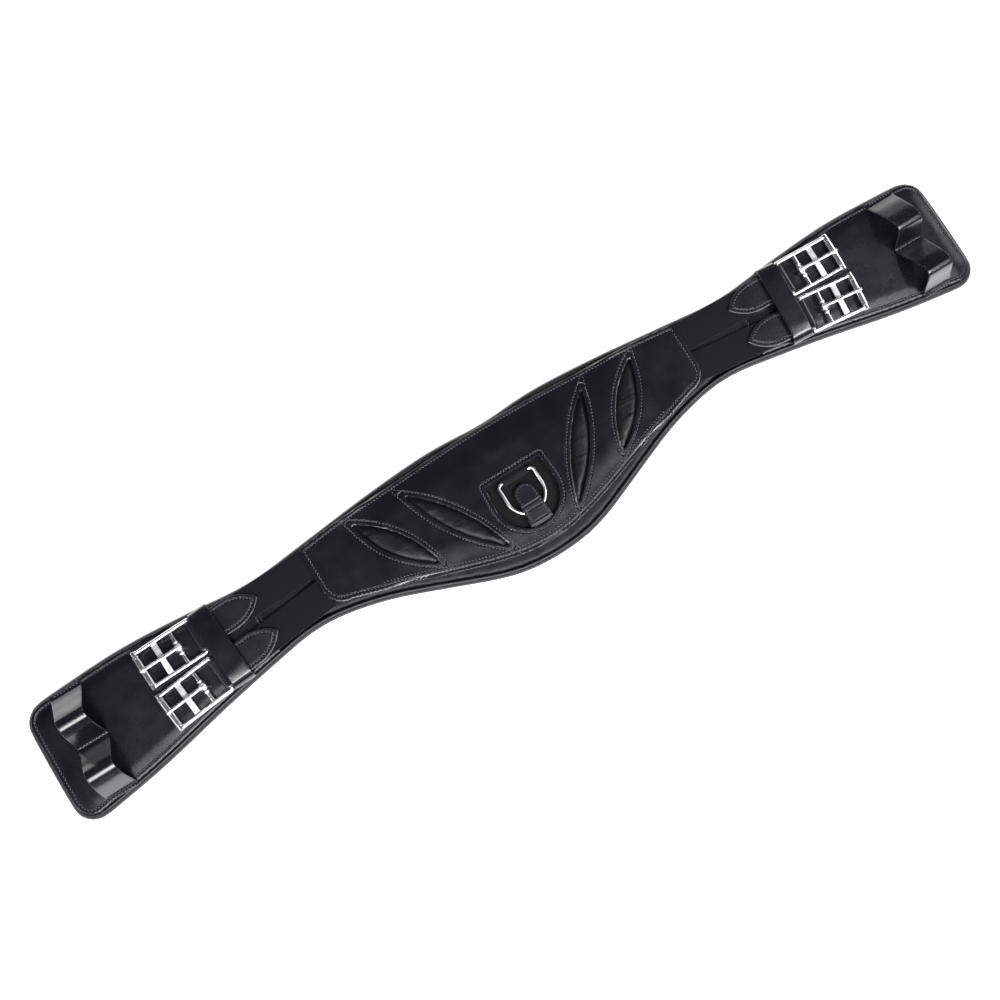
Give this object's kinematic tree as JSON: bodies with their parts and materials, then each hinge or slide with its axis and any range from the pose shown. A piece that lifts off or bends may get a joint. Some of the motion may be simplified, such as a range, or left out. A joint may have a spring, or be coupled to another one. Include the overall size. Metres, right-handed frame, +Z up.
{
  "type": "saddle girth",
  "caption": "Short anatomical leather dressage girth with elastic straps, roller buckles, billet loops, keepers and a D-ring in a padded centre panel.",
  "frame": {"origin": "under the middle of the girth's box, on the surface it lies on", "axes": "+X along the girth, +Y across it to the straight rear edge (the front edge bulges towards -Y), +Z up from the lining to the buckle side"},
  "size_m": [0.805, 0.1206, 0.034],
  "materials": {
    "leather": "smooth black leather, semi-gloss",
    "soft_leather": "soft black leather, satin, fine grain",
    "elastic": "ribbed woven elastic, matt",
    "webbing": "flat woven nylon webbing, matt",
    "foam": "closed-cell foam",
    "steel": "polished stainless steel"
  },
  "bodies": {
    "girth": {"lining": "soft_leather", "foam_core": "foam", "load_web": "webbing", "base_leather": "soft_leather", "centre_underlay": "soft_leather", "centre_panel": "leather", "eye_inlay_left_outer": "soft_leather", "eye_inlay_left_inner": "soft_leather", "eye_inlay_right_inner": "soft_leather", "eye_inlay_right_outer": "soft_leather", "d_ring_loop": "webbing", "tab_anchor": "leather", "end_panel_left": "leather", "end_panel_right": "leather", "strap_keeper_left": "leather", "strap_keeper_right": "leather", "billet_loops_left": "leather", "billet_loops_right": "leather"},
    "ring": {"d_ring": "steel"},
    "tab": {"d_ring_tab": "leather"},
    "strap_right_rear": {"elastic_right_rear": "elastic", "chape_right_rear": "leather"},
    "buckle_right_rear": {"buckle_frame_right_rear": "steel"},
    "tongue_right_rear": {"buckle_tongue_right_rear": "steel"},
    "roller_right_rear": {"buckle_roller_right_rear": "steel"},
    "strap_right_front": {"elastic_right_front": "elastic", "chape_right_front": "leather"},
    "buckle_right_front": {"buckle_frame_right_front": "steel"},
    "tongue_right_front": {"buckle_tongue_right_front": "steel"},
    "roller_right_front": {"buckle_roller_right_front": "steel"},
    "strap_left_rear": {"elastic_left_rear": "elastic", "chape_left_rear": "leather"},
    "buckle_left_rear": {"buckle_frame_left_rear": "steel"},
    "tongue_left_rear": {"buckle_tongue_left_rear": "steel"},
    "roller_left_rear": {"buckle_roller_left_rear": "steel"},
    "strap_left_front": {"elastic_left_front": "elastic", "chape_left_front": "leather"},
    "buckle_left_front": {"buckle_frame_left_front": "steel"},
    "tongue_left_front": {"buckle_tongue_left_front": "steel"},
    "roller_left_front": {"buckle_roller_left_front": "steel"}
  },
  "joints": [
    {"name": "tab_lift", "type": "hinge", "parent": "girth", "child": "tab", "pos_m": [0, -0.0315, 0.0181], "axis": [1, 0, 0], "range_deg": [0, 160]},
    {"name": "ring_swing", "type": "hinge", "parent": "girth", "child": "ring", "pos_m": [0, 0.0085, 0.0153], "axis": [-1, 0, 0], "range_deg": [0, 48]},
    {"name": "right_rear_stretch", "type": "slide", "parent": "girth", "child": "strap_right_rear", "axis": [0.9993, -0.0384, 0], "range_m": [0, 0.025], "stiffness_N_per_m": 600},
    {"name": "right_rear_buckle", "type": "hinge", "parent": "strap_right_rear", "child": "buckle_right_rear", "pos_m": [0.262, 0.0301, 0.0162], "axis": [-0.0384, -0.9993, 0], "range_deg": [0, 75]},
    {"name": "right_rear_tongue", "type": "hinge", "parent": "buckle_right_rear", "child": "tongue_right_rear", "pos_m": [0.27749, 0.0295, 0.0162], "axis": [-0.0384, -0.9993, 0], "range_deg": [0, 105]},
    {"name": "right_rear_roller", "type": "hinge", "parent": "buckle_right_rear", "child": "roller_right_rear", "pos_m": [0.30747, 0.02835, 0.0162], "axis": [-0.0384, -0.9993, 0], "continuous": true},
    {"name": "right_front_stretch", "type": "slide", "parent": "girth", "child": "strap_right_front", "axis": [0.9942, -0.108, 0], "range_m": [0, 0.025], "stiffness_N_per_m": 600},
    {"name": "right_front_buckle", "type": "hinge", "parent": "strap_right_front", "child": "buckle_right_front", "pos_m": [0.261, -0.0027, 0.0162], "axis": [-0.108, -0.9942, 0], "range_deg": [0, 75]},
    {"name": "right_front_tongue", "type": "hinge", "parent": "buckle_right_front", "child": "tongue_right_front", "pos_m": [0.27641, -0.00437, 0.0162], "axis": [-0.108, -0.9942, 0], "range_deg": [0, 105]},
    {"name": "right_front_roller", "type": "hinge", "parent": "buckle_right_front", "child": "roller_right_front", "pos_m": [0.30623, -0.00761, 0.0162], "axis": [-0.108, -0.9942, 0], "continuous": true},
    {"name": "left_rear_stretch", "type": "slide", "parent": "girth", "child": "strap_left_rear", "axis": [-0.9993, -0.0384, 0], "range_m": [0, 0.025], "stiffness_N_per_m": 600},
    {"name": "left_rear_buckle", "type": "hinge", "parent": "strap_left_rear", "child": "buckle_left_rear", "pos_m": [-0.262, 0.0301, 0.0162], "axis": [-0.0384, 0.9993, 0], "range_deg": [0, 75]},
    {"name": "left_rear_tongue", "type": "hinge", "parent": "buckle_left_rear", "child": "tongue_left_rear", "pos_m": [-0.27749, 0.0295, 0.0162], "axis": [-0.0384, 0.9993, 0], "range_deg": [0, 105]},
    {"name": "left_rear_roller", "type": "hinge", "parent": "buckle_left_rear", "child": "roller_left_rear", "pos_m": [-0.30747, 0.02835, 0.0162], "axis": [-0.0384, 0.9993, 0], "continuous": true},
    {"name": "left_front_stretch", "type": "slide", "parent": "girth", "child": "strap_left_front", "axis": [-0.9942, -0.108, 0], "range_m": [0, 0.025], "stiffness_N_per_m": 600},
    {"name": "left_front_buckle", "type": "hinge", "parent": "strap_left_front", "child": "buckle_left_front", "pos_m": [-0.261, -0.0027, 0.0162], "axis": [-0.108, 0.9942, 0], "range_deg": [0, 75]},
    {"name": "left_front_tongue", "type": "hinge", "parent": "buckle_left_front", "child": "tongue_left_front", "pos_m": [-0.27641, -0.00437, 0.0162], "axis": [-0.108, 0.9942, 0], "range_deg": [0, 105]},
    {"name": "left_front_roller", "type": "hinge", "parent": "buckle_left_front", "child": "roller_left_front", "pos_m": [-0.30623, -0.00761, 0.0162], "axis": [-0.108, 0.9942, 0], "continuous": true}
  ],
  "couplings": [
    {"joint": "ring_swing", "follows": "tab_lift", "ratio": 0.3}
  ]
}
